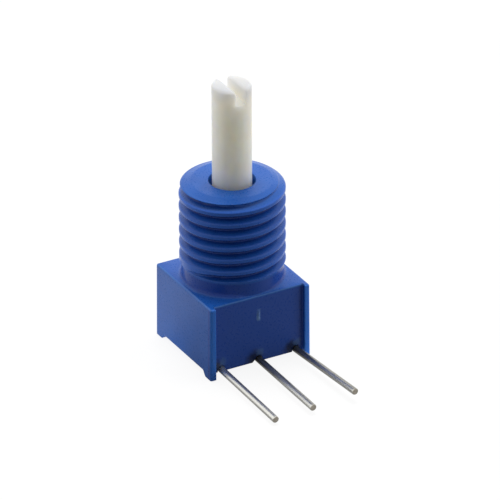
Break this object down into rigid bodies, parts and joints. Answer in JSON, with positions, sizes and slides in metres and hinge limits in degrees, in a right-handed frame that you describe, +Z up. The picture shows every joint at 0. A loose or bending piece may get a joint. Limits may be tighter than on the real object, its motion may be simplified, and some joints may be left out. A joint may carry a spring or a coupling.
{
  "type": "potentiometer",
  "caption": "Small panel potentiometer: square moulded case with an integral threaded bushing, slotted plastic shaft and straight pins leaving the front face.",
  "frame": {"origin": "on the shaft's axis, in the plane of the potted rear face, which is level with the lower edges of the case walls", "axes": "+Z up the shaft towards the slotted end, -Y the way the pins leave the case, X along the row of pins"},
  "size_m": [0.0068, 0.0132, 0.0175],
  "materials": {
    "blue_moulding": "satin moulded plastic, saturated blue",
    "ivory_moulding": "smooth moulded plastic, ivory",
    "seal_rubber": "matt black rubber",
    "wiper_metal": "bright spring sheet",
    "ceramic": "fired white ceramic",
    "resistive_film": "dark printed film",
    "conductor_film": "printed silver film",
    "tinned_wire": "bright tinned round wire",
    "solder": "bright solder",
    "potting_resin": "cast resin, dark blue"
  },
  "bodies": {
    "case": {"housing": "blue_moulding", "element_substrate": "ceramic", "resistive_track": "resistive_film", "collector_track": "conductor_film", "termination_1": "conductor_film", "termination_3": "conductor_film", "terminal_1": "tinned_wire", "terminal_2": "tinned_wire", "terminal_3": "tinned_wire", "solder_1": "solder", "solder_2": "solder", "solder_3": "solder", "rear_seal": "potting_resin"},
    "rotor": {"shaft": "ivory_moulding", "shaft_seal": "seal_rubber", "wiper": "wiper_metal"}
  },
  "joints": [
    {"name": "shaft_turn", "type": "hinge", "parent": "case", "child": "rotor", "pos_m": [0, 0, 0.00446], "axis": [0, 0, 1], "range_deg": [-135, 135]}
  ]
}
